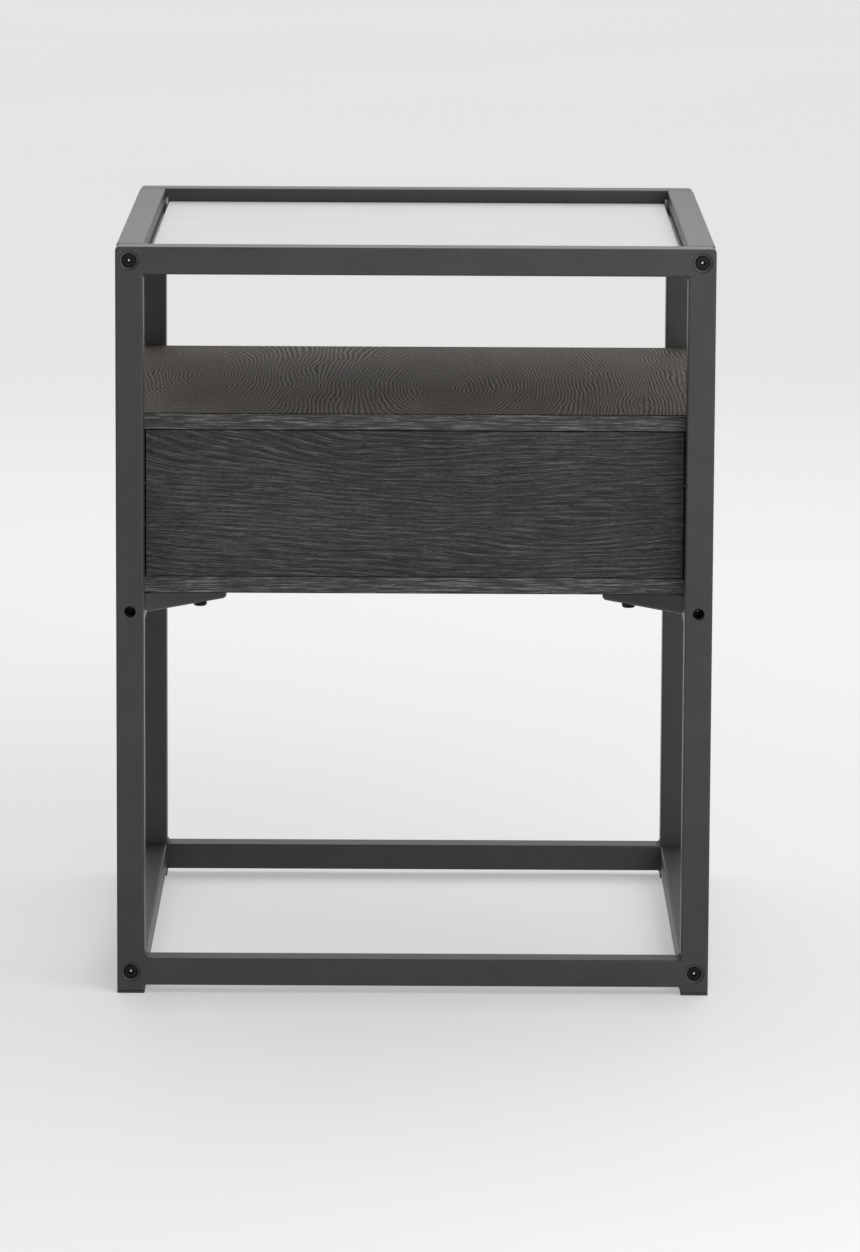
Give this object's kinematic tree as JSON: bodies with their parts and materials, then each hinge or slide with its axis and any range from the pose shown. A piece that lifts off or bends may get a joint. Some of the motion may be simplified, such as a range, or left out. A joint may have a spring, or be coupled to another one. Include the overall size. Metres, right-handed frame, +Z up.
{
  "type": "side table with drawer",
  "caption": "Square-tube steel side table with a glass top, an open shelf and a handleless push-to-open drawer in a dark wood-grain box.",
  "frame": {"origin": "on the floor, below the middle of the table", "axes": "+Z up, -Y out of the front, towards which the drawer opens, +X to the right seen from the front"},
  "size_m": [0.43, 0.4, 0.547],
  "materials": {
    "powder_coat": "fine matt powder coat",
    "black_steel": "black oxide",
    "dark_oak": "satin wood-grain foil on board",
    "drawer_board": "matt foil on board",
    "zinc": "bright zinc plate",
    "black_plastic": "moulded",
    "pale_plastic": "moulded",
    "clear_silicone": "clear, soft",
    "glass": "satin white, tempered"
  },
  "bodies": {
    "frame": {"back_frame": "powder_coat", "bottom_rail_left": "powder_coat", "bottom_rail_right": "powder_coat", "box_back": "dark_oak", "box_bottom": "dark_oak", "box_side_left": "dark_oak", "box_side_right": "dark_oak", "cabinet_runner_left": "zinc", "cabinet_runner_right": "zinc", "corner_screw_back_bottom_left": "black_steel", "corner_screw_back_bottom_right": "black_steel", "corner_screw_back_top_left": "black_steel", "corner_screw_back_top_right": "black_steel", "corner_screw_front_bottom_left": "black_steel", "corner_screw_front_bottom_right": "black_steel", "corner_screw_front_top_left": "black_steel", "corner_screw_front_top_right": "black_steel", "foot_back_left": "black_plastic", "foot_back_right": "black_plastic", "foot_front_left": "black_plastic", "foot_front_right": "black_plastic", "front_frame": "powder_coat", "glass_bumper_back_left": "clear_silicone", "glass_bumper_back_right": "clear_silicone", "glass_bumper_front_left": "clear_silicone", "glass_bumper_front_right": "clear_silicone", "glass_top": "glass", "gusset_back_left": "powder_coat", "gusset_back_right": "powder_coat", "gusset_front_left": "powder_coat", "gusset_front_right": "powder_coat", "gusset_screw_back_left": "black_steel", "gusset_screw_back_right": "black_steel", "gusset_screw_front_left": "black_steel", "gusset_screw_front_right": "black_steel", "latch_body": "pale_plastic", "mid_rail_left": "powder_coat", "mid_rail_right": "powder_coat", "mid_screw_back_left": "black_steel", "mid_screw_back_right": "black_steel", "mid_screw_front_left": "black_steel", "mid_screw_front_right": "black_steel", "shelf_panel": "dark_oak", "top_rail_left": "powder_coat", "top_rail_right": "powder_coat"},
    "drawer": {"drawer_front": "dark_oak", "drawer_side_left": "drawer_board", "drawer_side_right": "drawer_board", "drawer_back": "drawer_board", "drawer_bottom": "drawer_board", "drawer_runner_left": "zinc", "drawer_runner_right": "zinc"},
    "cage_left": {"ball_cage_left": "zinc"},
    "cage_right": {"ball_cage_right": "zinc"},
    "plunger": {"latch_plunger": "black_plastic"}
  },
  "joints": [
    {"name": "drawer_slide", "type": "slide", "parent": "frame", "child": "drawer", "axis": [0, -1, 0], "range_m": [-0.0025, 0.19]},
    {"name": "cage_left_slide", "type": "slide", "parent": "frame", "child": "cage_left", "axis": [0, -1, 0], "range_m": [-0.00125, 0.095]},
    {"name": "cage_right_slide", "type": "slide", "parent": "frame", "child": "cage_right", "axis": [0, -1, 0], "range_m": [-0.00125, 0.095]},
    {"name": "plunger_slide", "type": "slide", "parent": "frame", "child": "plunger", "axis": [0, -1, 0], "range_m": [-0.00025, 0.019]}
  ],
  "couplings": [
    {"joint": "cage_left_slide", "follows": "drawer_slide", "ratio": 0.5},
    {"joint": "cage_right_slide", "follows": "drawer_slide", "ratio": 0.5},
    {"joint": "plunger_slide", "follows": "drawer_slide", "ratio": 0.1}
  ]
}
